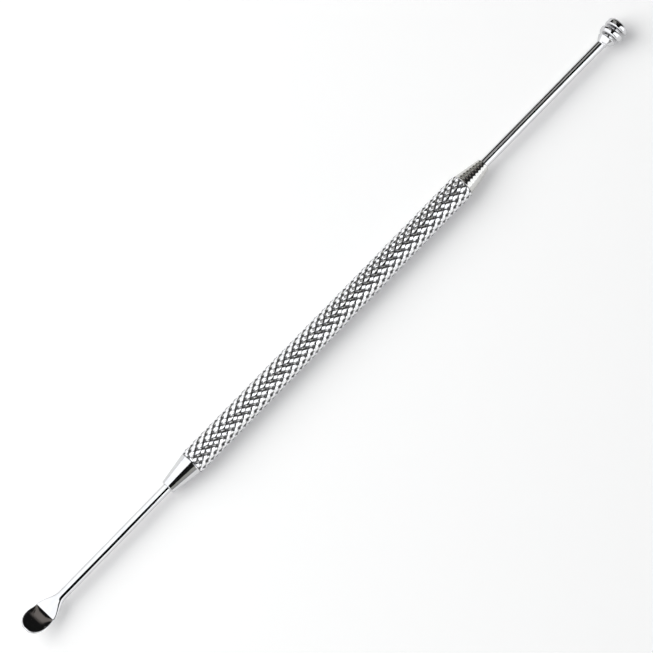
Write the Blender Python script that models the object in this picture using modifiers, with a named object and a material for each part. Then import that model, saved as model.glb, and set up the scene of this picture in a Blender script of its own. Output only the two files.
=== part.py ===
"""Double-ended steel ear pick: a knurled tube grip with a bent scoop on one end and a spiral head on the other.

The tool lies along X, scoop towards -X and spiral head towards +X, with the scoop opening upwards. The origin is on
the table under the middle of the grip. Metres, +Z up.
"""

import math

import bmesh
import bpy
from mathutils import Vector

MM = 0.001

# Clearance between pieces that are pressed or brazed together
FIT_GAP = 0.03 * MM

# Grip
GRIP_LENGTH = 57.4 * MM
GRIP_DIAMETER = 4.0 * MM
GRIP_BORE = 2.7 * MM
GRIP_CHAMFER = 0.15 * MM

# Knurl on the grip: flat-topped diamonds between two sets of crossing grooves
KNURL_DEPTH = 0.22 * MM
DIAMONDS_AROUND = 10
DIAMONDS_ALONG = 34
DIAMOND_TOP_SHARE = 0.48

# End cones, each a tapered nose with a spigot that fills the grip's bore
SPIGOT_LENGTH = 6.0 * MM
CONE_CHAMFER = 0.12 * MM
SCOOP_CONE_LENGTH = 5.0 * MM
SCOOP_CONE_NOSE = 2.3 * MM
SCOOP_CONE_STEP = 0.1 * MM
SPIRAL_CONE_LENGTH = 4.5 * MM
SPIRAL_CONE_NOSE = 2.1 * MM
SPIRAL_CONE_STEP = 0.18 * MM
RING_DEPTH = 0.03 * MM
RING_COUNT = 7

# Round wire of both shanks
WIRE_DIAMETER = 1.5 * MM
WIRE_CHAMFER = 0.15 * MM
TANG_SETBACK = 0.5 * MM
SCOOP_WIRE_LENGTH = 21.7 * MM
SPIRAL_WIRE_LENGTH = 25.4 * MM

# Paddle, where the wire is flattened, and the scoop that is bent up from it at a crease
PADDLE_LENGTH = 3.6 * MM
PADDLE_WIDTH = 3.6 * MM
PADDLE_THICKNESS = 0.5 * MM
FLATTENING_SHARE = 0.45
SCOOP_WIDTH = 3.75 * MM
SCOOP_SIDE_LENGTH = 1.9 * MM
SCOOP_END_LENGTH = 2.55 * MM
SCOOP_THICKNESS = 0.4 * MM
SCOOP_DISH = 0.3 * MM
SCOOP_DISH_POWER = 4
DISH_RISE_SHARE = 0.4
CREASE_ANGLE = math.radians(20)
SCOOP_END_ANGLE = math.radians(40)
SCOOP_END_POWER = 2.2

# Spiral head: a bulb with one right-handed groove
HEAD_LENGTH = 4.45 * MM
HEAD_DIAMETER = 3.6 * MM
HEAD_RISE = 2.4 * MM
HEAD_DOME = 0.9 * MM
HEAD_DOME_POWER = 2.6
THREAD_PITCH = 1.4 * MM
THREAD_CORE = 1.7 * MM
THREAD_SHOULDER = 0.33 * MM
GROOVE_WIDTH = 0.37 * MM
GROOVE_START = 0.03 * MM
GROOVE_START_ANGLE = math.radians(90)
GROOVE_TURNS = 2.5

# Overrun of cutters past the surface that they cut
OVERRUN = 0.3 * MM
# Points nearer to a turned piece's axis than this are one point
AXIS_MERGE = 0.001 * MM

# Fineness of the round shapes
ROUND_SEGMENTS = 32
EDGE_STEPS = 3
PADDLE_STEPS = 9
SCOOP_SIDE_STEPS = 4
SCOOP_END_STEPS = 8
ARC_STEPS = 4
BULB_STEPS = 7

SMOOTH_ANGLE = math.radians(35)
STEEL = (0.62, 0.62, 0.63, 1.0)
KNURL_STEEL = (0.56, 0.56, 0.57, 1.0)
POLISHED_ROUGHNESS = 0.12
TURNED_ROUGHNESS = 0.2
KNURLED_ROUGHNESS = 0.22


def clear_scene():
    for item in list(bpy.data.objects):
        bpy.data.objects.remove(item, do_unlink=True)


def new_collection(name):
    collection = bpy.data.collections.new(name)
    bpy.context.scene.collection.children.link(collection)
    return collection


def metal(name, colour, roughness):
    material = bpy.data.materials.new(name)
    material.use_nodes = True
    shader = material.node_tree.nodes["Principled BSDF"]
    shader.inputs["Base Color"].default_value = colour
    shader.inputs["Metallic"].default_value = 1.0
    shader.inputs["Roughness"].default_value = roughness
    return material


def new_empty(name, parent, collection, location, turn=0.0):
    """A frame for other objects, turned about its own Z axis."""
    empty = bpy.data.objects.new(name, None)
    empty.location = location
    empty.rotation_euler = (0, 0, turn)
    empty.parent = parent
    collection.objects.link(empty)
    return empty


def new_object(name, mesh, parent, collection, material=None):
    item = bpy.data.objects.new(name, mesh)
    item.parent = parent
    collection.objects.link(item)
    if material:
        mesh.materials.append(material)
    return item


def as_cutter(item):
    item.hide_render = True
    item.display_type = "WIRE"
    return item


def mesh_from(bm, name):
    """A finished mesh with its faces pointing out and its round surfaces smooth."""
    bmesh.ops.recalc_face_normals(bm, faces=bm.faces)
    mesh = bpy.data.meshes.new(name)
    bm.to_mesh(mesh)
    bm.free()
    mesh.shade_smooth()
    mesh.set_sharp_from_angle(angle=SMOOTH_ANGLE)
    return mesh


def profile_mesh(name, profile, closed):
    """A chain of (along, radius) points in the plane Z = 0, for a Screw modifier about X."""
    count = len(profile)
    links = count if closed else count - 1
    mesh = bpy.data.meshes.new(name)
    points = [(along, radius, 0) for along, radius in profile]
    mesh.from_pydata(points, [(k, (k + 1) % count) for k in range(links)], [])
    return mesh


def add_turning(item, angle=2 * math.pi, advance=0.0, steps=ROUND_SEGMENTS):
    """Turns a profile about X; a helix also moves by advance along X."""
    screw = item.modifiers.new("turning", "SCREW")
    screw.axis = "X"
    screw.angle = angle
    screw.screw_offset = advance
    screw.steps = steps
    screw.render_steps = steps
    screw.use_merge_vertices = True
    screw.merge_threshold = AXIS_MERGE
    screw.use_smooth_shade = True
    return screw


def add_boolean(item, cutter, operation):
    cut = item.modifiers.new(cutter.name, "BOOLEAN")
    cut.operation = operation
    cut.solver = "EXACT"
    cut.object = cutter
    return cut


def smooth_rise(share):
    """Goes from 0 to 1 with level ends."""
    return share * share * (3 - 2 * share)


def knurl_points(row, step, reach):
    """The middle of one diamond's top, and its direction round the grip; row and step count half diamonds."""
    angle = step * math.pi / DIAMONDS_AROUND - math.pi / 2
    outward = Vector((0, math.cos(angle), math.sin(angle)))
    sideways = Vector((0, -math.sin(angle), math.cos(angle)))
    along = Vector((row * GRIP_LENGTH / DIAMONDS_ALONG / 2, 0, 0))
    return along + outward * reach, sideways


def knurled_bar():
    """A closed bar covered in diamonds. It is longer than the grip, whose blank trims it."""
    bm = bmesh.new()
    crest = GRIP_DIAMETER / 2
    steps = 2 * DIAMONDS_AROUND
    last_row = DIAMONDS_ALONG + 2
    half_length = Vector((GRIP_LENGTH / DIAMONDS_ALONG / 2, 0, 0))
    half_width = crest * math.tan(math.pi / DIAMONDS_AROUND)
    crossings = {}
    for row in range(-last_row, last_row + 1):
        for step in range(steps):
            if (row + step) % 2:
                place, _ = knurl_points(row, step, crest - KNURL_DEPTH)
                crossings[row, step] = bm.verts.new(place)
    for row in range(1 - last_row, last_row):
        for step in range(steps):
            if (row + step) % 2:
                continue
            middle, sideways = knurl_points(row, step, crest)
            spans = (half_length, sideways * half_width, -half_length, -sideways * half_width)
            top = [bm.verts.new(middle + span * DIAMOND_TOP_SHARE) for span in spans]
            foot = [
                crossings[row + 1, step],
                crossings[row, (step + 1) % steps],
                crossings[row - 1, step],
                crossings[row, (step - 1) % steps],
            ]
            bm.faces.new(top)
            for end in (0, 2):
                for side in (1, 3):
                    bm.faces.new((top[end], top[side], foot[end]))
                    bm.faces.new((foot[end], top[side], foot[side]))
    rims = [edge for edge in bm.edges if edge.is_boundary]
    ends = bmesh.ops.holes_fill(bm, edges=rims, sides=0)["faces"]
    bmesh.ops.triangulate(bm, faces=ends)
    bmesh.ops.recalc_face_normals(bm, faces=bm.faces)
    mesh = bpy.data.meshes.new("knurled_grip")
    bm.to_mesh(mesh)
    bm.free()
    return mesh


def grip_blank_profile():
    """The tube that the knurled bar is trimmed to: chamfered ends and the bore."""
    end = GRIP_LENGTH / 2
    rim = GRIP_DIAMETER / 2 - GRIP_CHAMFER
    slope = GRIP_CHAMFER + OVERRUN
    return [
        (end, rim),
        (end - slope, rim + slope),
        (slope - end, rim + slope),
        (-end, rim),
        (-end, GRIP_BORE / 2),
        (end, GRIP_BORE / 2),
    ]


def build_grip(parent, parts, cutters, material):
    blank = new_object("grip_blank", profile_mesh("grip_blank", grip_blank_profile(), True), parent, cutters)
    add_turning(blank)
    as_cutter(blank)
    grip = new_object("knurled_grip", knurled_bar(), parent, parts, material)
    add_boolean(grip, blank, "INTERSECT")
    return grip


def cone_profile(length, nose, step, rings):
    """One end cone from its nose at +X to its spigot, then back along its bore; X = 0 is the grip's end."""
    nose_radius = nose / 2
    base_radius = GRIP_DIAMETER / 2 - step
    spigot_radius = GRIP_BORE / 2 - FIT_GAP
    bore_radius = WIRE_DIAMETER / 2 + FIT_GAP
    taper_start = length - CONE_CHAMFER
    taper_end = FIT_GAP + CONE_CHAMFER
    points = [(length, nose_radius - CONE_CHAMFER)]
    for k in range(2 * rings + 1):
        share = k / (2 * rings) if rings else 0.0
        depth = RING_DEPTH if k % 2 else 0.0
        along = taper_start + (taper_end - taper_start) * share
        points.append((along, nose_radius + (base_radius - nose_radius) * share - depth))
    if not rings:
        points.append((taper_end, base_radius))
    points += [
        (FIT_GAP, base_radius - CONE_CHAMFER),
        (FIT_GAP, spigot_radius),
        (CONE_CHAMFER - SPIGOT_LENGTH, spigot_radius),
        (-SPIGOT_LENGTH, spigot_radius - CONE_CHAMFER),
        (-SPIGOT_LENGTH, bore_radius),
        (length, bore_radius),
    ]
    return points


def build_cone(name, profile, parent, parts, material):
    cone = new_object(name, profile_mesh(name, profile, True), parent, parts, material)
    add_turning(cone)
    return cone


def flat_ring(half_width, half_thickness, flatness):
    """Points round a section that goes from a circle, at flatness 0, to a strip with round edges, at 1.

    Each is (sideways, up), anticlockwise from the +Y edge as seen from +X.
    """
    quarter = []
    steps = 2 * EDGE_STEPS
    for k in range(steps + 1):
        edge_share = min(k / EDGE_STEPS, 1)
        inward = max(k / EDGE_STEPS - 1, 0)
        angle = math.pi / 2 * ((1 - flatness) * k / steps + flatness * edge_share)
        sideways = (half_width - half_thickness) * (1 - inward) + half_thickness * math.cos(angle)
        quarter.append((sideways, half_thickness * math.sin(angle)))
    upper = quarter + [(-y, z) for y, z in reversed(quarter[:-1])]
    return upper + [(y, -z) for y, z in reversed(upper[1:-1])]


def placed_ring(section, centre, tilt, dish=0.0):
    """A section set across the shank at its centre, leaning by tilt, its edges raised by dish."""
    up = Vector((-math.sin(tilt), 0, math.cos(tilt)))
    ring = []
    for sideways, height in section:
        edge_share = sideways / (SCOOP_WIDTH / 2)
        ring.append(centre + Vector((0, sideways, 0)) + up * (height + dish * edge_share**SCOOP_DISH_POWER))
    return ring


def wire_rings(length):
    """The round wire from its tang's end, inside the cone, to where it is flattened."""
    radius = WIRE_DIAMETER / 2
    tang_end = TANG_SETBACK - SPIGOT_LENGTH
    places = ((tang_end, radius - WIRE_CHAMFER), (tang_end + WIRE_CHAMFER, radius), (length, radius))
    return [placed_ring(flat_ring(size, size, 0), Vector((along, 0, 0)), 0) for along, size in places]


def paddle_rings(start):
    """The flared paddle, up to the last section before the crease."""
    rings = []
    for k in range(1, PADDLE_STEPS):
        share = k / PADDLE_STEPS
        rise = smooth_rise(share)
        half_width = (WIRE_DIAMETER + (PADDLE_WIDTH - WIRE_DIAMETER) * rise) / 2
        half_thickness = (WIRE_DIAMETER + (PADDLE_THICKNESS - WIRE_DIAMETER) * rise) / 2
        flatness = smooth_rise(min(share / FLATTENING_SHARE, 1))
        section = flat_ring(half_width, half_thickness, flatness)
        rings.append(placed_ring(section, Vector((start + PADDLE_LENGTH * share, 0, 0)), 0))
    return rings


def scoop_rings(start):
    """The crease and the scoop beyond it, which curves up along an arc and ends in a blunt round tip."""
    length = SCOOP_SIDE_LENGTH + SCOOP_END_LENGTH
    bend = SCOOP_END_ANGLE - CREASE_ANGLE
    arc_radius = length / bend
    crease = flat_ring(PADDLE_WIDTH / 2, PADDLE_THICKNESS / 2, 1)
    rings = [placed_ring(crease, Vector((start, 0, 0)), CREASE_ANGLE / 2)]
    stations = []
    for k in range(1, SCOOP_SIDE_STEPS):
        stations.append((SCOOP_SIDE_LENGTH * k / SCOOP_SIDE_STEPS, 1.0))
    for k in range(SCOOP_END_STEPS):
        turn = math.pi / 2 * k / SCOOP_END_STEPS
        ahead = math.sin(turn) ** (2 / SCOOP_END_POWER)
        stations.append((SCOOP_SIDE_LENGTH + SCOOP_END_LENGTH * ahead, math.cos(turn) ** (2 / SCOOP_END_POWER)))
    for distance, width_share in stations:
        share = distance / length
        angle = CREASE_ANGLE + bend * share
        along = arc_radius * (math.sin(angle) - math.sin(CREASE_ANGLE))
        height = arc_radius * (math.cos(CREASE_ANGLE) - math.cos(angle))
        half_thickness = (PADDLE_THICKNESS + (SCOOP_THICKNESS - PADDLE_THICKNESS) * share) / 2
        widening = (SCOOP_WIDTH - PADDLE_WIDTH) * smooth_rise(min(distance / SCOOP_SIDE_LENGTH, 1))
        section = flat_ring((PADDLE_WIDTH + widening) / 2 * width_share, half_thickness, 1)
        centre = Vector((start + along, 0, height))
        dish = SCOOP_DISH * smooth_rise(min(share / DISH_RISE_SHARE, 1))
        rings.append(placed_ring(section, centre, angle, dish))
    return rings


def skinned(name, rings):
    """A closed body through rings of as many points each."""
    bm = bmesh.new()
    loops = [[bm.verts.new(point) for point in ring] for ring in rings]
    for first, second in zip(loops, loops[1:]):
        count = len(first)
        for k in range(count):
            after = (k + 1) % count
            bm.faces.new((first[k], first[after], second[after], second[k]))
    bm.faces.new(loops[0])
    bm.faces.new(loops[-1])
    return mesh_from(bm, name)


def build_scoop_shank(parent, parts, material):
    wire_end = SCOOP_CONE_LENGTH + SCOOP_WIRE_LENGTH
    rings = wire_rings(wire_end) + paddle_rings(wire_end) + scoop_rings(wire_end + PADDLE_LENGTH)
    return new_object("scoop_shank", skinned("scoop_shank", rings), parent, parts, material)


def spiral_shank_profile():
    """Wire and bulb from the tip of the dome back to the tang's end."""
    head_start = SPIRAL_CONE_LENGTH + SPIRAL_WIRE_LENGTH
    wire_radius = WIRE_DIAMETER / 2
    head_radius = HEAD_DIAMETER / 2
    dome_start = head_start + HEAD_LENGTH - HEAD_DOME
    tang_end = TANG_SETBACK - SPIGOT_LENGTH
    points = []
    for k in range(BULB_STEPS):
        turn = math.pi / 2 * (1 - k / BULB_STEPS)
        ahead = math.sin(turn) ** (2 / HEAD_DOME_POWER)
        radius = head_radius * math.cos(turn) ** (2 / HEAD_DOME_POWER)
        points.append((dome_start + HEAD_DOME * ahead, radius if k else 0.0))
    points.append((dome_start, head_radius))
    for k in range(BULB_STEPS + 1):
        share = 1 - k / BULB_STEPS
        rise = (head_radius - wire_radius) * math.sin(math.pi / 2 * share)
        points.append((head_start + HEAD_RISE * share, wire_radius + rise))
    points += [
        (tang_end + WIRE_CHAMFER, wire_radius),
        (tang_end, wire_radius - WIRE_CHAMFER),
        (tang_end, 0),
    ]
    return points


def groove_section():
    """The groove's section at its start: a round floor, straight walls and a mouth that rounds the crests."""
    half_width = GROOVE_WIDTH / 2
    floor = THREAD_CORE / 2
    crest = HEAD_DIAMETER / 2
    right = []
    for k in range(ARC_STEPS + 1):
        turn = math.pi / 2 * k / ARC_STEPS
        right.append((half_width * math.sin(turn), floor + half_width * (1 - math.cos(turn))))
    for k in range(ARC_STEPS + 1):
        turn = math.pi / 2 * k / ARC_STEPS
        aside = half_width + THREAD_SHOULDER * (1 - math.cos(turn))
        right.append((aside, crest - THREAD_SHOULDER * (1 - math.sin(turn))))
    right.append((half_width + THREAD_SHOULDER, crest + OVERRUN))
    left = [(-along, radius) for along, radius in reversed(right[1:])]
    return right + left


def build_groove_cutter(start, parent, cutters):
    """The groove as a closed helical body."""
    sketch = new_object("groove_sketch", profile_mesh("groove_sketch", groove_section(), True), None, cutters)
    turns = GROOVE_TURNS
    add_turning(sketch, 2 * math.pi * turns, THREAD_PITCH * turns, round(ROUND_SEGMENTS * turns))
    bpy.context.view_layer.update()
    mesh = bpy.data.meshes.new_from_object(sketch.evaluated_get(bpy.context.evaluated_depsgraph_get()))
    bpy.data.objects.remove(sketch, do_unlink=True)
    bm = bmesh.new()
    bm.from_mesh(mesh)
    bmesh.ops.holes_fill(bm, edges=[edge for edge in bm.edges if edge.is_boundary], sides=0)
    cutter = new_object("groove_cutter", mesh_from(bm, "groove_cutter"), parent, cutters)
    cutter.location = (start, 0, 0)
    cutter.rotation_euler = (GROOVE_START_ANGLE, 0, 0)
    return as_cutter(cutter)


def build_spiral_shank(parent, parts, cutters, material):
    mesh = profile_mesh("spiral_shank", spiral_shank_profile(), False)
    shank = new_object("spiral_shank", mesh, parent, parts, material)
    add_turning(shank)
    groove_start = SPIRAL_CONE_LENGTH + SPIRAL_WIRE_LENGTH + GROOVE_START
    add_boolean(shank, build_groove_cutter(groove_start, parent, cutters), "DIFFERENCE")
    return shank


def main():
    clear_scene()
    parts = new_collection("ear_pick")
    cutters = new_collection("cutters")
    polished = metal("polished_steel", STEEL, POLISHED_ROUGHNESS)
    turned = metal("turned_steel", STEEL, TURNED_ROUGHNESS)
    knurled = metal("knurled_steel", KNURL_STEEL, KNURLED_ROUGHNESS)
    axis = new_empty("tool_axis", None, parts, (0, 0, GRIP_DIAMETER / 2))
    scoop_end = new_empty("scoop_end", axis, parts, (-GRIP_LENGTH / 2, 0, 0), math.pi)
    spiral_end = new_empty("spiral_end", axis, parts, (GRIP_LENGTH / 2, 0, 0))
    build_grip(axis, parts, cutters, knurled)
    scoop_cone = cone_profile(SCOOP_CONE_LENGTH, SCOOP_CONE_NOSE, SCOOP_CONE_STEP, 0)
    build_cone("scoop_end_cone", scoop_cone, scoop_end, parts, polished)
    spiral_cone = cone_profile(SPIRAL_CONE_LENGTH, SPIRAL_CONE_NOSE, SPIRAL_CONE_STEP, RING_COUNT)
    build_cone("spiral_end_cone", spiral_cone, spiral_end, parts, turned)
    build_scoop_shank(scoop_end, parts, polished)
    build_spiral_shank(spiral_end, parts, cutters, polished)


main()
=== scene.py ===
"""Looks of a double-ended steel ear pick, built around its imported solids.

Each piece is a finer mesh in the place of its solid, in polished, turned or knurled steel. The tool lies
along X, scoop towards -X and spiral head towards +X, on a pale floor at Z = 0. Metres, +Z up.
"""

import math

import bpy
import numpy as np
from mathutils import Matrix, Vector


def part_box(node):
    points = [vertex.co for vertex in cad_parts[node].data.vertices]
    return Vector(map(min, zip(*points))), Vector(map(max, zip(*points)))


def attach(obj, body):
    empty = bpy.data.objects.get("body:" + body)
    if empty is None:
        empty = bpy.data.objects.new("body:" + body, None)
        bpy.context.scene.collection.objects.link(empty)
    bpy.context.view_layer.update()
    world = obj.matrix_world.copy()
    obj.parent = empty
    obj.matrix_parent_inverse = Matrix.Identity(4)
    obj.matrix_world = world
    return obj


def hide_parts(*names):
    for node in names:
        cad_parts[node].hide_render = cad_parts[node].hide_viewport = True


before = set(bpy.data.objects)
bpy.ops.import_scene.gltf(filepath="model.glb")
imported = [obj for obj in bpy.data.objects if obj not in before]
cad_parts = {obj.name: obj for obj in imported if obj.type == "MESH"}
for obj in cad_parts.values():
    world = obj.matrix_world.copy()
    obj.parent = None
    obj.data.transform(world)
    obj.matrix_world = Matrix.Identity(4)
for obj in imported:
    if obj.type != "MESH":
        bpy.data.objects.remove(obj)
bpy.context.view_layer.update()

MM = 0.001
BODY = "root"

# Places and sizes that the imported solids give
GRIP_LOW, GRIP_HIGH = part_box("knurled_grip")
SCOOP_CONE_LOW, SCOOP_CONE_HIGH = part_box("scoop_end_cone")
SPIRAL_CONE_LOW, SPIRAL_CONE_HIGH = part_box("spiral_end_cone")
SCOOP_LOW, SCOOP_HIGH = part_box("scoop_shank")
SPIRAL_LOW, SPIRAL_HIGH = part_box("spiral_shank")
GRIP_LENGTH = GRIP_HIGH.x - GRIP_LOW.x
GRIP_RADIUS = (GRIP_HIGH.z - GRIP_LOW.z) / 2
AXIS_HEIGHT = (GRIP_HIGH.z + GRIP_LOW.z) / 2
GRIP_END = GRIP_LENGTH / 2
SCOOP_NOSE = GRIP_LOW.x - SCOOP_CONE_LOW.x
SPIRAL_NOSE = SPIRAL_CONE_HIGH.x - GRIP_HIGH.x
SPIGOT_LENGTH = SCOOP_CONE_HIGH.x - GRIP_LOW.x
TANG_LENGTH = SCOOP_HIGH.x - GRIP_LOW.x
HEAD_END = SPIRAL_HIGH.x - GRIP_HIGH.x
HEAD_RADIUS = (SPIRAL_HIGH.y - SPIRAL_LOW.y) / 2
SCOOP_WIDTH = SCOOP_HIGH.y - SCOOP_LOW.y

# Grip: a tube under crossing grooves, which leave rounded diamonds. The shares are of the knurl's depth,
# but for the top's, which is of the diamond's width. A saddle is a groove's floor between two crossings.
GRIP_BORE_RADIUS = 1.35 * MM
GRIP_CHAMFER = 0.15 * MM
KNURL_DEPTH = 0.22 * MM
DIAMONDS_AROUND = 10
DIAMONDS_ALONG = 34
DIAMOND_TOP_SHARE = 0.48
WALL_POWER = 1.4
DIAMOND_CROWN_SHARE = 0.15
SADDLE_SHARE = 0.45

# Cones. The rings are a little shallower than the solid's, as polishing leaves them.
FIT_GAP = 0.03 * MM
CONE_EDGE = 0.12 * MM
SCOOP_NOSE_RADIUS = 1.15 * MM
SCOOP_CONE_STEP = 0.1 * MM
SPIRAL_NOSE_RADIUS = 1.05 * MM
SPIRAL_CONE_STEP = 0.18 * MM
RING_DEPTH = 0.024 * MM
RING_COUNT = 7

# Wire of both shanks, and the chamfered end of its tang as (along, radius)
WIRE_RADIUS = 0.75 * MM
WIRE_CHAMFER = 0.15 * MM
TANG_END = ((-TANG_LENGTH, WIRE_RADIUS - WIRE_CHAMFER), (WIRE_CHAMFER - TANG_LENGTH, WIRE_RADIUS))

# Paddle and scoop
SCOOP_WIRE_LENGTH = 21.7 * MM
PADDLE_LENGTH = 3.6 * MM
PADDLE_WIDTH = 3.6 * MM
PADDLE_THICKNESS = 0.5 * MM
FLATTENING_SHARE = 0.45
SCOOP_SIDE_LENGTH = 1.9 * MM
SCOOP_END_LENGTH = 2.55 * MM
SCOOP_THICKNESS = 0.4 * MM
SCOOP_DISH = 0.3 * MM
SCOOP_DISH_POWER = 4
DISH_RISE_SHARE = 0.4
CREASE_ANGLE = math.radians(20)
SCOOP_END_ANGLE = math.radians(40)
SCOOP_END_POWER = 2.2

# Spiral head
HEAD_LENGTH = 4.45 * MM
HEAD_RISE = 2.4 * MM
HEAD_DOME = 0.9 * MM
HEAD_DOME_POWER = 2.6
THREAD_PITCH = 1.4 * MM
CORE_RADIUS = 0.85 * MM
CREST_ROUND = 0.33 * MM
GROOVE_WIDTH = 0.37 * MM
GROOVE_WALL = 0.05 * MM
GROOVE_START = 0.03 * MM
GROOVE_START_TURN = 0.25
GROOVE_TURNS = 2.5

# Fineness of the meshes: points round, and steps in half a diamond, a ring, an edge or a stretch. Two rings
# just past the crease, at these shares of the scoop's side, keep it crisp.
KNURL_STEPS = 10
CONE_SEGMENTS = 128
CONE_EDGE_STEPS = 6
RING_STEPS = 24
PLAIN_TAPER_STEPS = 48
EDGE_STEPS = 9
PADDLE_STEPS = 48
CREASE_SHARES = (0.015, 0.06)
SCOOP_SIDE_STEPS = 12
SCOOP_END_STEPS = 60
HEAD_SEGMENTS = 160
HEAD_STEP = 0.018 * MM
DOME_STEPS = 60
SHARP_ANGLE = math.radians(35)

# Steel: the colours of its darker and lighter places, the painted shade of the knurl's pits, and the depths
# of its fine relief
POLISHED_DARK = (0.62, 0.62, 0.63, 1)
POLISHED_LIGHT = (0.66, 0.66, 0.665, 1)
POLISHED_RELIEF = 0.004 * MM
SCRATCH_SHARE = 0.3
TURNED_DARK = (0.58, 0.575, 0.555, 1)
TURNED_LIGHT = (0.66, 0.655, 0.64, 1)
TURNED_RELIEF = 0.006 * MM
# Painted shade: a near-black colour that stands in for the shade that falls in the knurl's pits
PAINTED_PIT_SHADE = (0.02, 0.02, 0.02, 1)
DIAMOND_COLOUR = (0.85, 0.85, 0.86, 1)
KNURLED_RELIEF = 0.004 * MM

# Where the share and the colours are among a Mix node's sockets
MIX_SHARE = 0
MIX_FIRST = 6
MIX_SECOND = 7
MIX_RESULT = 2

# Camera, as fitted to the photograph. Its azimuth goes from +Y towards +X, in the direction it looks.
CAMERA_TARGET = Vector((-0.50, -0.16, 2.0)) * MM
CAMERA_AZIMUTH = math.radians(46.38)
CAMERA_ELEVATION = math.radians(77.1)
CAMERA_DISTANCE = 629.3 * MM
CAMERA_LENS = 237.6
CAMERA_CLIP_START = 10 * MM
CAMERA_CLIP_END = 10.0

# Studio: a soft key light, a plain room, and a lit diffuser and cards that only the steel reflects. The key
# light's azimuth goes from +X towards +Y, in the direction that it comes from.
AMBIENT_LEVEL = 0.33
ROOM_COLOUR = (0.97, 0.98, 1.0, 1.0)
KEY_COLOUR = (1.0, 1.0, 0.98)
KEY_POWER = 3.9
KEY_SIDE = 620 * MM
KEY_DISTANCE = 600 * MM
KEY_AZIMUTH = math.radians(130)
KEY_ELEVATION = math.radians(43)
FLOOR_SIDE = 6.0
FLOOR_COLOUR = (0.95, 0.95, 0.955, 1.0)
FLOOR_SPECULAR = 0.2
FLOOR_LIFT = 0.15
DIFFUSER_HEIGHT = 900 * MM
DIFFUSER_SIDE = 9.0
OVERHEAD_HEIGHT = 300 * MM
SIDE_PLACE = 300 * MM
FAR_PLACE = 400 * MM
NEAR_PLACE = -400 * MM
CARD_GAP = 1 * MM
FAR_FADE_START = 245 * MM
FAR_FADE_END = 325 * MM
DIFFUSER_TONE = (1.55, 1.57, 1.6)
BLACK_TONE = (0.008, 0.008, 0.008)
DARK_TONE = (0.05, 0.05, 0.048)
FAR_TONE = (0.205, 0.185, 0.172)
NEAR_TONE = (0.35, 0.35, 0.35)
SIDE_TONE = (0.43, 0.425, 0.415)
LIGHT_TONE = (0.4, 0.4, 0.37)

# Corners of the cards in millimetres: (x, y) overhead, (x, z) at the sides, and (y, z) on the far one
OVERHEAD_BLACK = (
    (-140, -310),
    (-75, -310),
    (-45, -500),
    (10, -500),
    (17, -95),
    (117, -103),
    (400, -225),
    (400, 10),
    (275, 10),
    (275, 52),
    (262, 150),
    (165, 150),
    (117, 103),
    (-12, 5),
    (-140, 5),
)
OVERHEAD_DARK = ((165, 10), (275, 10), (275, 60), (250, 130), (340, 190), (340, 300), (165, 200))
SIDE_BLACK = ((55, 0), (400, 0), (400, 226), (55, 226))
SIDE_GREY = ((55, 226), (400, 226), (400, 870), (55, 870))
SIDE_LIGHT = ((150, 0), (265, 0), (290, 226), (320, 300), (320, 360), (260, 360), (150, 226))
FAR_CARD = ((-250, 0), (300, 0), (300, 500), (-250, 500))
NEAR_GREY = ((-300, 25), (-60, 25), (-60, 155), (-300, 155))
SLOPE_FOOT = ((-300, 155), (-60, 155))
SLOPE_TOP_PLACE = -310 * MM


class Graph:
    """The nodes of a material or world, each fed by numbers, colours or other nodes' sockets."""

    def __init__(self, tree):
        self.tree = tree

    def feed(self, socket, value):
        if isinstance(value, bpy.types.NodeSocket):
            self.tree.links.new(value, socket)
        else:
            socket.default_value = value

    def add(self, kind, inputs=None, **settings):
        """A new node, with its settings made and its inputs fed."""
        node = self.tree.nodes.new("ShaderNode" + kind)
        for name, value in settings.items():
            setattr(node, name, value)
        for name, value in (inputs or {}).items():
            self.feed(node.inputs[name], value)
        return node

    def math(self, operation, *values, clamp=False):
        node = self.add("Math", operation=operation, use_clamp=clamp)
        for socket, value in zip(node.inputs, values):
            self.feed(socket, value)
        return node.outputs["Value"]

    def step(self, value, low, high, start=0.0, end=1.0):
        """Goes smoothly from start, where value is low, to end, where it is high."""
        limits = {"From Min": low, "From Max": high, "To Min": start, "To Max": end}
        node = self.add("MapRange", {"Value": value, **limits}, interpolation_type="SMOOTHSTEP")
        return node.outputs["Result"]

    def mix(self, share, first, second):
        """The first colour at share 0, and the second at 1."""
        node = self.add("Mix", data_type="RGBA")
        self.feed(node.inputs[MIX_SHARE], share)
        self.feed(node.inputs[MIX_FIRST], first)
        self.feed(node.inputs[MIX_SECOND], second)
        return node.outputs[MIX_RESULT]

    def place(self):
        """The place on the piece, in metres."""
        return self.add("TexCoord").outputs["Object"]

    def noise(self, grains, detail):
        """Noise with so many grains per millimetre along each axis."""
        scaled = self.add("Mapping", {"Vector": self.place(), "Scale": [count / MM for count in grains]})
        made = self.add("TexNoise", {"Vector": scaled.outputs["Vector"], "Scale": 1.0, "Detail": detail})
        return made.outputs["Fac"]

    def seen(self):
        """1 to the camera, in reflections and through glass, and 0 for the light that falls on things."""
        path = self.add("LightPath").outputs
        direct = self.math("ADD", path["Is Camera Ray"], path["Is Glossy Ray"])
        return self.math("ADD", direct, path["Is Transmission Ray"], clamp=True)


def new_material(name):
    """A material with the graph of its nodes and its shader node."""
    material = bpy.data.materials.new(name)
    material.use_nodes = True
    shader = material.node_tree.nodes["Principled BSDF"]
    return material, Graph(material.node_tree), shader


def finish_steel(graph, shader, colour, rough, haze, relief, strength, depth):
    """Metal whose roughness is rough and haze together, under a fine relief of a depth in metres."""
    shader.inputs["Metallic"].default_value = 1.0
    graph.feed(shader.inputs["Base Color"], colour)
    graph.feed(shader.inputs["Roughness"], graph.math("ADD", rough, haze))
    bump = graph.add("Bump", {"Strength": strength, "Distance": depth, "Height": relief})
    graph.feed(shader.inputs["Normal"], bump.outputs["Normal"])


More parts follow.
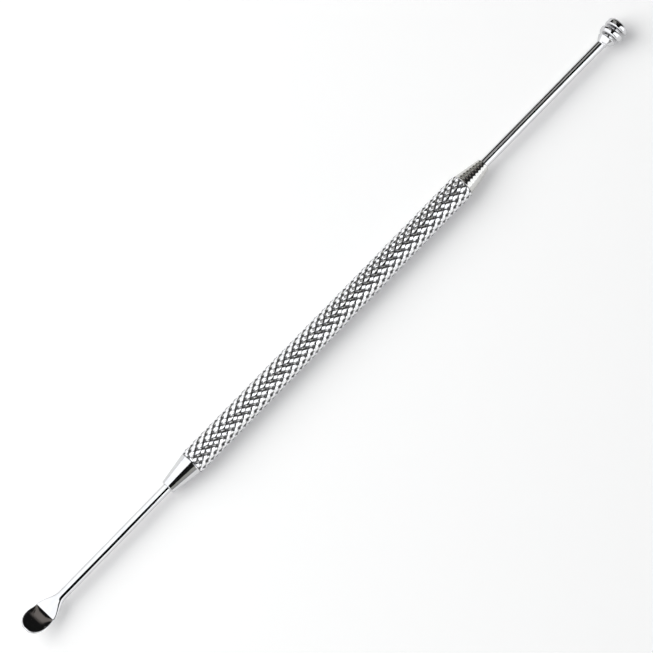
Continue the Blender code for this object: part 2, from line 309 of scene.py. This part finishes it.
def polished_steel():
    """Mirror-polished steel with faint lines along the tool, from drawing and buffing."""
    material, graph, shader = new_material("polished_steel")
    lines = graph.noise(grains=(0.12, 9, 9), detail=4)
    smudges = graph.noise(grains=(0.35, 0.6, 0.6), detail=2)
    scratches = graph.noise(grains=(1.2, 26, 20), detail=2)
    colour = graph.mix(graph.step(smudges, low=0.3, high=0.7), POLISHED_DARK, POLISHED_LIGHT)
    rough = graph.step(lines, low=0.35, high=0.75, start=0.02, end=0.07)
    haze = graph.step(smudges, low=0.5, high=0.8, start=0.0, end=0.03)
    relief = graph.math("ADD", lines, graph.math("MULTIPLY", scratches, SCRATCH_SHARE))
    finish_steel(graph, shader, colour, rough, haze, relief, strength=0.6, depth=POLISHED_RELIEF)
    return material


def turned_steel():
    """Steel as it comes off the lathe, lightly polished: fine tool marks run round the cone."""
    material, graph, shader = new_material("turned_steel")
    marks = graph.noise(grains=(14, 0.4, 0.4), detail=3)
    smudges = graph.noise(grains=(0.8, 0.8, 0.8), detail=2)
    colour = graph.mix(graph.step(marks, low=0.3, high=0.7), TURNED_DARK, TURNED_LIGHT)
    rough = graph.step(marks, low=0.3, high=0.7, start=0.05, end=0.13)
    haze = graph.step(smudges, low=0.4, high=0.8, start=0.0, end=0.03)
    finish_steel(graph, shader, colour, rough, haze, marks, strength=0.7, depth=TURNED_RELIEF)
    return material


def knurled_steel():
    """Knurled steel: the diamonds' tops are polished, and the pits where grooves cross are dull and painted
    near black, as painted shade.

    The pit attribute is 1 at a crossing, and 0 in the middle of a diamond and halfway to the next crossing.
    """
    material, graph, shader = new_material("knurled_steel")
    pit = graph.add("Attribute", attribute_name="pit").outputs["Fac"]
    grit = graph.noise(grains=(7, 7, 7), detail=3)
    smudges = graph.noise(grains=(0.3, 0.5, 0.5), detail=2)
    rim = graph.step(pit, low=0.2, high=0.66)
    middle = graph.step(pit, low=0.7, high=0.95, start=1.0, end=0.7)
    uneven = graph.step(grit, low=0.2, high=0.7, start=0.85, end=1.0)
    # Painted shade: how far the colour goes towards near black, full on the pits' rims, a little lighter at
    # their very middle, and uneven with the grit
    pit_shade = graph.math("MULTIPLY", graph.math("MULTIPLY", rim, middle), uneven)
    colour = graph.mix(pit_shade, DIAMOND_COLOUR, PAINTED_PIT_SHADE)
    rough = graph.step(pit, low=0.2, high=0.6, start=0.08, end=0.15)
    haze = graph.step(smudges, low=0.4, high=0.8, start=0.0, end=0.04)
    finish_steel(graph, shader, colour, rough, haze, grit, strength=0.3, depth=KNURLED_RELIEF)
    return material


def finished_mesh(name, points, faces):
    """A mesh of points held in an array of any shape, smooth but for its sharp edges."""
    mesh = bpy.data.meshes.new(name)
    mesh.from_pydata(points.reshape(-1, 3).tolist(), [], faces)
    mesh.shade_smooth()
    mesh.set_sharp_from_angle(angle=SHARP_ANGLE)
    return mesh


def add_piece(name, mesh, material, solid):
    """A piece of the tool in the place of its solid."""
    piece = bpy.data.objects.new(name, mesh)
    bpy.context.scene.collection.objects.link(piece)
    mesh.materials.append(material)
    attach(piece, BODY)
    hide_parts(solid)


def at_end(points, turned_round):
    """Moves points from an end's own frame, X outwards from the grip's end, into the tool's frame."""
    way = -1 if turned_round else 1
    x, y, z = points[..., 0], points[..., 1], points[..., 2]
    return np.stack((way * (x + GRIP_END), way * y, z + AXIS_HEIGHT), axis=-1)


def turned_grid(stations, segments):
    """Stations of (along, radius) as two arrays, with one number for each point of each ring."""
    chain = np.array(stations)
    return np.repeat(chain[:, :1], segments, axis=1), np.repeat(chain[:, 1:], segments, axis=1)


def turned_points(along, radius):
    """Rings of points round X; along and radius hold one number for each point."""
    segments = radius.shape[1]
    angle = np.arange(segments) * 2 * np.pi / segments
    return np.stack((along, radius * np.cos(angle), radius * np.sin(angle)), axis=-1)


def grid_faces(rings, segments, closed=False, crossed=None):
    """Faces between rings of points; crossed marks the cells that split along their other diagonal."""
    faces = []
    for i in range(rings if closed else rings - 1):
        after = (i + 1) % rings
        for j in range(segments):
            right = (j + 1) % segments
            a, b = i * segments + j, i * segments + right
            c, d = after * segments + right, after * segments + j
            if crossed is None:
                faces.append((a, b, c, d))
            elif crossed[i, j]:
                faces += [(a, b, d), (b, c, d)]
            else:
                faces += [(a, b, c), (a, c, d)]
    return faces


def rod_faces(rings, segments):
    """Faces of a rod, with flat ends on its first and last rings."""
    last = (rings - 1) * segments
    sides = [face[::-1] for face in grid_faces(rings, segments)]
    first_end = tuple(range(segments))
    last_end = tuple(last + k for k in reversed(range(segments)))
    return [*sides, first_end, last_end]


def wave_from(value):
    """Distance from the nearest whole number."""
    return np.abs(value - np.round(value))


def diamond_profile(offset):
    """Height across a diamond as a share of the knurl's depth: 1 in its middle, 0 in the groove at 0.5."""
    down = np.clip((2 * offset - DIAMOND_TOP_SHARE) / (1 - DIAMOND_TOP_SHARE), 0, 1)
    crown = 1 - (2 * offset) ** 2
    return (1 - DIAMOND_CROWN_SHARE) * (1 - down**WALL_POWER) + DIAMOND_CROWN_SHARE * crown


def knurl_shares(row, step):
    """Height left standing, and the pit attribute, at a row along and a step round.

    Both count half diamonds. Grooves run at row + step and at row - step equal to an odd number.
    """
    first_offset = wave_from((row + step) / 2)
    second_offset = wave_from((row - step) / 2)
    first = diamond_profile(first_offset)
    second = diamond_profile(second_offset)
    deeper = 1 - np.minimum(first, second)
    shallower = 1 - np.maximum(first, second)
    standing = 1 - deeper * (SADDLE_SHARE + (1 - SADDLE_SHARE) * shallower)
    return standing, 2 * np.minimum(first_offset, second_offset)


def grip_points(along, radius, step):
    """Points round the grip's axis, from the middle of the lowest diamond; step counts half diamonds."""
    angle = step * np.pi / DIAMONDS_AROUND
    return np.stack((along, radius * np.sin(angle), AXIS_HEIGHT - radius * np.cos(angle)), axis=-1)


def build_grip(material):
    """The knurled tube: its outer skin, chamfered ends and bore are one closed mesh."""
    segments = 2 * DIAMONDS_AROUND * KNURL_STEPS
    half_rows = DIAMONDS_ALONG * KNURL_STEPS
    row = np.arange(-half_rows, half_rows + 1)[:, None] / KNURL_STEPS
    step = np.arange(segments)[None, :] / KNURL_STEPS
    standing, pits = knurl_shares(row, step)
    along = np.repeat(row * GRIP_LENGTH / DIAMONDS_ALONG / 2, segments, axis=1)
    knurled = GRIP_RADIUS - KNURL_DEPTH * (1 - standing)
    chamfer = GRIP_RADIUS - GRIP_CHAMFER + (GRIP_END - np.abs(along))
    skin = grip_points(along, np.minimum(knurled, chamfer), step)
    bore_ends = ((GRIP_END, GRIP_BORE_RADIUS), (-GRIP_END, GRIP_BORE_RADIUS))
    bore_along, bore_radius = turned_grid(bore_ends, segments)
    points = np.concatenate((skin, grip_points(bore_along, bore_radius, step)))
    middle_row = row[:-1] + 0.5 / KNURL_STEPS
    middle_step = step + 0.5 / KNURL_STEPS
    from_first = wave_from((middle_row + middle_step) / 2)
    from_second = wave_from((middle_row - middle_step) / 2)
    crossed = np.zeros((len(points), segments), bool)
    crossed[: len(row) - 1] = from_first > from_second
    faces = grid_faces(len(points), segments, closed=True, crossed=crossed)
    mesh = finished_mesh("knurled_grip", points, faces)
    pit = mesh.attributes.new("pit", "FLOAT", "POINT")
    pit.data.foreach_set("value", np.append(pits, np.zeros(2 * segments)).astype(np.float32))
    add_piece("grip", mesh, material, "knurled_grip")


def smooth_rise(share):
    """Goes from 0 to 1 and is level at both."""
    return share * share * (3 - 2 * share)


def quarter_round(start, end):
    """Points on a quarter of an ellipse that leaves start along X and reaches end along the radius."""
    (x0, r0), (x1, r1) = start, end
    turns = [math.pi / 2 * k / CONE_EDGE_STEPS for k in range(CONE_EDGE_STEPS + 1)]
    return [(x0 + (x1 - x0) * math.sin(t), r1 + (r0 - r1) * math.cos(t)) for t in turns]


def superellipse(power, steps):
    """Shares (ahead, aside) on a quarter of a superellipse, from (0, 1) to just short of (1, 0)."""
    turns = [math.pi / 2 * k / steps for k in range(steps)]
    return [(math.sin(t) ** (2 / power), math.cos(t) ** (2 / power)) for t in turns]


def cone_profile(length, nose_radius, base_step, rings):
    """A closed profile: nose, taper, base, spigot and bore; X = 0 is the grip's end."""
    base_radius = GRIP_RADIUS - base_step
    spigot_radius = GRIP_BORE_RADIUS - FIT_GAP
    bore_radius = WIRE_RADIUS + FIT_GAP
    start = length - CONE_EDGE
    end = FIT_GAP + CONE_EDGE
    points = quarter_round((start, nose_radius), (length, nose_radius - CONE_EDGE))[::-1]
    steps = max(RING_STEPS * rings, PLAIN_TAPER_STEPS)
    for k in range(1, steps):
        share = k / steps
        taper = nose_radius + (base_radius - nose_radius) * share
        ripple = RING_DEPTH / 2 * (1 - math.cos(2 * math.pi * rings * share))
        points.append((start + (end - start) * share, taper - ripple))
    points += quarter_round((end, base_radius), (FIT_GAP, base_radius - CONE_EDGE))
    points += [
        (FIT_GAP, spigot_radius),
        (CONE_EDGE - SPIGOT_LENGTH, spigot_radius),
        (-SPIGOT_LENGTH, spigot_radius - CONE_EDGE),
        (-SPIGOT_LENGTH, bore_radius),
        (length, bore_radius),
    ]
    return points


def build_cone(name, profile, turned_round, material, solid):
    """A ferrule made by turning its profile round X, for the scoop's end if turned round."""
    along, radius = turned_grid(profile[::-1], CONE_SEGMENTS)
    points = at_end(turned_points(along, radius), turned_round)
    mesh = finished_mesh(name, points, grid_faces(len(profile), CONE_SEGMENTS, closed=True))
    add_piece(name, mesh, material, solid)


def flat_ring(half_width, half_thickness, flatness):
    """Points round a section that goes from a circle, at flatness 0, to a strip with round edges, at 1."""
    k = np.arange(2 * EDGE_STEPS + 1)
    edge_share = np.minimum(k / EDGE_STEPS, 1)
    inward = np.maximum(k / EDGE_STEPS - 1, 0)
    angle = np.pi / 2 * ((1 - flatness) * k / (2 * EDGE_STEPS) + flatness * edge_share)
    sideways = (half_width - half_thickness) * (1 - inward) + half_thickness * np.cos(angle)
    up = half_thickness * np.sin(angle)
    upper_side = np.concatenate((sideways, -sideways[-2::-1]))
    upper_up = np.concatenate((up, up[-2::-1]))
    return np.concatenate((upper_side, upper_side[-2:0:-1])), np.concatenate((upper_up, -upper_up[-2:0:-1]))


def placed_ring(section, along, height=0.0, tilt=0.0, dish=0.0):
    """A section set across the shank, leaning by tilt, its edges raised by dish."""
    sideways, up = section
    lift = up + dish * (sideways / (SCOOP_WIDTH / 2)) ** SCOOP_DISH_POWER
    return np.stack((along - math.sin(tilt) * lift, sideways, height + math.cos(tilt) * lift), axis=-1)


def paddle_rings(start):
    """The end of the wire, which widens and flattens from round into a strip."""
    rings = []
    for k in range(PADDLE_STEPS):
        share = k / PADDLE_STEPS
        rise = smooth_rise(share)
        half_width = WIRE_RADIUS + (PADDLE_WIDTH / 2 - WIRE_RADIUS) * rise
        half_thickness = WIRE_RADIUS + (PADDLE_THICKNESS / 2 - WIRE_RADIUS) * rise
        flatness = smooth_rise(min(share / FLATTENING_SHARE, 1))
        section = flat_ring(half_width, half_thickness, flatness)
        rings.append(placed_ring(section, start + PADDLE_LENGTH * share))
    return rings


def scoop_stations():
    """Distances along the scoop from its crease, and the share of its width that it has there."""
    stations = [(SCOOP_SIDE_LENGTH * share, 1.0) for share in CREASE_SHARES]
    stations += [(SCOOP_SIDE_LENGTH * k / SCOOP_SIDE_STEPS, 1.0) for k in range(1, SCOOP_SIDE_STEPS)]
    for ahead, aside in superellipse(SCOOP_END_POWER, SCOOP_END_STEPS):
        stations.append((SCOOP_SIDE_LENGTH + SCOOP_END_LENGTH * ahead, aside))
    return stations


def scoop_rings(start):
    """Crease, scoop and blunt tip, along an arc that bends up."""
    length = SCOOP_SIDE_LENGTH + SCOOP_END_LENGTH
    bend = SCOOP_END_ANGLE - CREASE_ANGLE
    arc_radius = length / bend
    crease = flat_ring(PADDLE_WIDTH / 2, PADDLE_THICKNESS / 2, flatness=1)
    rings = [placed_ring(crease, start, tilt=CREASE_ANGLE / 2)]
    for distance, width_share in scoop_stations():
        share = distance / length
        angle = CREASE_ANGLE + bend * share
        along = start + arc_radius * (math.sin(angle) - math.sin(CREASE_ANGLE))
        height = arc_radius * (math.cos(CREASE_ANGLE) - math.cos(angle))
        half_thickness = (PADDLE_THICKNESS + (SCOOP_THICKNESS - PADDLE_THICKNESS) * share) / 2
        left = length - distance
        if left < half_thickness:
            half_thickness = math.sqrt(left * (2 * half_thickness - left))
        widening = (SCOOP_WIDTH - PADDLE_WIDTH) * smooth_rise(min(distance / SCOOP_SIDE_LENGTH, 1))
        section = flat_ring((PADDLE_WIDTH + widening) / 2 * width_share, half_thickness, flatness=1)
        dish = SCOOP_DISH * smooth_rise(min(share / DISH_RISE_SHARE, 1))
        rings.append(placed_ring(section, along, height, angle, dish))
    return rings


def build_scoop_shank(material):
    """One skin over the sections of tang, wire, paddle and scoop."""
    wire_end = SCOOP_NOSE + SCOOP_WIRE_LENGTH
    rings = [placed_ring(flat_ring(radius, radius, flatness=0), along) for along, radius in TANG_END]
    rings += paddle_rings(wire_end)
    rings += scoop_rings(wire_end + PADDLE_LENGTH)
    points = at_end(np.array(rings), turned_round=True)
    mesh = finished_mesh("scoop_shank", points, rod_faces(len(rings), points.shape[1]))
    add_piece("scoop_wire", mesh, material, "scoop_shank")


def bulb_profile(head_start):
    """The head without its groove, as stations of (along, radius) from the wire to the end's middle."""
    dome_start = HEAD_LENGTH - HEAD_DOME
    stations = []
    for x in np.arange(0, dome_start, HEAD_STEP):
        rise = math.sin(math.pi / 2 * min(x / HEAD_RISE, 1))
        stations.append((head_start + x, WIRE_RADIUS + (HEAD_RADIUS - WIRE_RADIUS) * rise))
    for ahead, aside in superellipse(HEAD_DOME_POWER, DOME_STEPS):
        stations.append((head_start + dome_start + HEAD_DOME * ahead, HEAD_RADIUS * aside))
    return stations


def grooved(radius, aside):
    """Radius left at a distance aside from the groove's centre line, on a blank of the given radius."""
    half = GROOVE_WIDTH / 2
    depth = np.maximum(radius - CORE_RADIUS, 0)
    rounding = CREST_ROUND * depth / (HEAD_RADIUS - CORE_RADIUS)
    mouth = np.clip((aside - half) / np.maximum(rounding, GROOVE_WALL), 0, 1)
    wall = np.clip((aside - half + GROOVE_WALL) / GROOVE_WALL, 0, 1)
    rounded = rounding * (1 - np.sqrt(1 - (1 - mouth) ** 2))
    return radius - depth + (depth - rounded) * smooth_rise(wall)


def build_spiral_shank(material):
    """The wire with its head: the helical groove is the least radius that any of its turns leaves."""
    head_start = HEAD_END - HEAD_LENGTH
    stations = [*TANG_END, (head_start - HEAD_STEP, WIRE_RADIUS), *bulb_profile(head_start)]
    along, radius = turned_grid(stations, HEAD_SEGMENTS)
    left = radius
    turn_share = np.arange(HEAD_SEGMENTS)[None, :] / HEAD_SEGMENTS - GROOVE_START_TURN
    for turn in range(-1, math.ceil(GROOVE_TURNS) + 1):
        turns = turn + turn_share
        inside = np.clip(turns, 0, GROOVE_TURNS)
        centre = head_start + GROOVE_START + THREAD_PITCH * inside
        beyond = (turns - inside) * 2 * np.pi * HEAD_RADIUS
        reach = np.hypot(along - centre, beyond)
        left = np.minimum(left, grooved(radius, reach))
    points = at_end(turned_points(along, left), turned_round=False)
    mesh = finished_mesh("spiral_shank", points, rod_faces(len(stations), HEAD_SEGMENTS))
    add_piece("spiral_wire", mesh, material, "spiral_shank")


def stage_mesh(name, corners, material):
    """A flat face that belongs to the stage and not to the tool."""
    mesh = bpy.data.meshes.new(name)
    mesh.from_pydata(corners, [], [tuple(range(len(corners)))])
    mesh.materials.append(material)
    item = bpy.data.objects.new(name, mesh)
    bpy.context.scene.collection.objects.link(item)
    return item


def floor_material():
    """Matt white paper. The lift is added where the camera and the steel see it, and the shadow stays."""
    material, graph, shader = new_material("white_paper")
    fibres = graph.noise(grains=(0.6, 0.6, 0.6), detail=4)
    shader.inputs["Base Color"].default_value = FLOOR_COLOUR
    graph.feed(shader.inputs["Roughness"], graph.step(fibres, low=0.3, high=0.7, start=0.8, end=0.95))
    shader.inputs["Specular IOR Level"].default_value = FLOOR_SPECULAR
    shader.inputs["Emission Color"].default_value = (1, 1, 1, 1)
    graph.feed(shader.inputs["Emission Strength"], graph.math("MULTIPLY", graph.seen(), FLOOR_LIFT))
    return material


def unlit_material(name):
    """A material that shows its emission colour alone, whatever light falls on it."""
    material, graph, shader = new_material(name)
    shader.inputs["Base Color"].default_value = (0, 0, 0, 1)
    shader.inputs["Specular IOR Level"].default_value = 0.0
    shader.inputs["Emission Strength"].default_value = 1.0
    return material, graph, shader


def card_material(name, tone):
    material, _, shader = unlit_material(name)
    shader.inputs["Emission Color"].default_value = (*tone, 1)
    return material


def fading_card_material(name, low_tone, high_tone, start, end):
    """A tone that changes on the way up, between the heights start and end."""
    material, graph, shader = unlit_material(name)
    height = graph.add("SeparateXYZ", {"Vector": graph.place()}).outputs["Z"]
    share = graph.step(height, start, end)
    graph.feed(shader.inputs["Emission Color"], graph.mix(share, (*low_tone, 1), (*high_tone, 1)))
    return material


def build_card(name, corners, material):
    """A card that shows in the steel alone: it blocks no light, and the camera looks through it."""
    card = stage_mesh(name, corners, material)
    card.visible_camera = False
    card.visible_diffuse = False
    card.visible_shadow = False


def overhead(corners, height=OVERHEAD_HEIGHT):
    """Places in metres of corners (x, y) on a level card."""
    return [(x * MM, y * MM, height) for x, y in corners]


def beside(corners, place):
    """Places in metres of corners (x, z) on an upright card at a Y place."""
    return [(x * MM, place, z * MM) for x, z in corners]


def beyond(corners):
    """Places in metres of corners (y, z) on the upright card past the spiral head."""
    return [(FAR_PLACE, y * MM, z * MM) for y, z in corners]


def level_square(side, height):
    """Corners of a level square with its middle above the origin."""
    half = side / 2
    return [(-half, -half, height), (half, -half, height), (half, half, height), (-half, half, height)]


def build_studio():
    """Floor, diffuser and cards. Where two cards overlap, the one in front stands off by CARD_GAP."""
    stage_mesh("floor", level_square(FLOOR_SIDE, 0), floor_material())
    lit = card_material("lit_diffuser", DIFFUSER_TONE)
    build_card("diffuser", level_square(DIFFUSER_SIDE, DIFFUSER_HEIGHT), lit)
    black = card_material("black_card", BLACK_TONE)
    light = card_material("light_card", LIGHT_TONE)
    build_card("overhead_card", overhead(OVERHEAD_BLACK), black)
    dark_corners = overhead(OVERHEAD_DARK, OVERHEAD_HEIGHT + CARD_GAP)
    build_card("overhead_dark_card", dark_corners, card_material("dark_card", DARK_TONE))
    build_card("side_card", beside(SIDE_BLACK, SIDE_PLACE), black)
    build_card("side_card_top", beside(SIDE_GREY, SIDE_PLACE), card_material("side_grey_card", SIDE_TONE))
    build_card("side_light_card", beside(SIDE_LIGHT, SIDE_PLACE - CARD_GAP), light)
    fading = fading_card_material("far_card", BLACK_TONE, FAR_TONE, FAR_FADE_START, FAR_FADE_END)
    build_card("far_card", beyond(FAR_CARD), fading)
    build_card("near_card", beside(NEAR_GREY, NEAR_PLACE), card_material("near_grey_card", NEAR_TONE))
    foot = beside(SLOPE_FOOT, NEAR_PLACE)
    top = [(corner[0], SLOPE_TOP_PLACE, OVERHEAD_HEIGHT) for corner in reversed(foot)]
    build_card("sloping_card", foot + top, light)


def build_world():
    """A white room to the camera and in the steel, which lights matt surfaces at the ambient level alone."""
    world = bpy.data.worlds.new("white_room")
    world.use_nodes = True
    sky = world.node_tree.nodes["Background"]
    sky.inputs["Color"].default_value = ROOM_COLOUR
    graph = Graph(world.node_tree)
    level = graph.math("MULTIPLY_ADD", graph.seen(), 1 - AMBIENT_LEVEL, AMBIENT_LEVEL)
    graph.feed(sky.inputs["Strength"], level)
    bpy.context.scene.world = world


def build_key_light():
    """A large soft lamp beyond the tool. The steel shows the room in its place, so no square is seen."""
    data = bpy.data.lights.new("key_light", "AREA")
    data.color = KEY_COLOUR
    data.energy = KEY_POWER
    data.size = KEY_SIDE
    lamp = bpy.data.objects.new("key_light", data)
    bpy.context.scene.collection.objects.link(lamp)
    level = math.cos(KEY_ELEVATION)
    away = Vector(
        (math.cos(KEY_AZIMUTH) * level, math.sin(KEY_AZIMUTH) * level, math.sin(KEY_ELEVATION))
    )
    lamp.location = away * KEY_DISTANCE
    lamp.rotation_euler = away.to_track_quat("Z", "Y").to_euler()
    lamp.visible_glossy = False


def build_camera():
    """The camera at the photograph's viewing angle."""
    data = bpy.data.cameras.new("camera")
    data.lens = CAMERA_LENS
    data.clip_start = CAMERA_CLIP_START
    data.clip_end = CAMERA_CLIP_END
    camera = bpy.data.objects.new("camera", data)
    bpy.context.scene.collection.objects.link(camera)
    level = math.cos(CAMERA_ELEVATION)
    look = Vector(
        (math.sin(CAMERA_AZIMUTH) * level, math.cos(CAMERA_AZIMUTH) * level, -math.sin(CAMERA_ELEVATION))
    )
    camera.location = CAMERA_TARGET - look * CAMERA_DISTANCE
    camera.rotation_euler = look.to_track_quat("-Z", "Y").to_euler()
    bpy.context.scene.camera = camera


def main():
    polished = polished_steel()
    turned = turned_steel()
    knurled = knurled_steel()
    build_grip(knurled)
    scoop_cone = cone_profile(SCOOP_NOSE, SCOOP_NOSE_RADIUS, SCOOP_CONE_STEP, 0)
    build_cone("scoop_cone", scoop_cone, True, polished, "scoop_end_cone")
    spiral_cone = cone_profile(SPIRAL_NOSE, SPIRAL_NOSE_RADIUS, SPIRAL_CONE_STEP, RING_COUNT)
    build_cone("spiral_cone", spiral_cone, False, turned, "spiral_end_cone")
    build_scoop_shank(polished)
    build_spiral_shank(polished)
    build_camera()
    build_studio()
    build_world()
    build_key_light()
    bpy.context.scene.view_settings.view_transform = "Standard"


main()
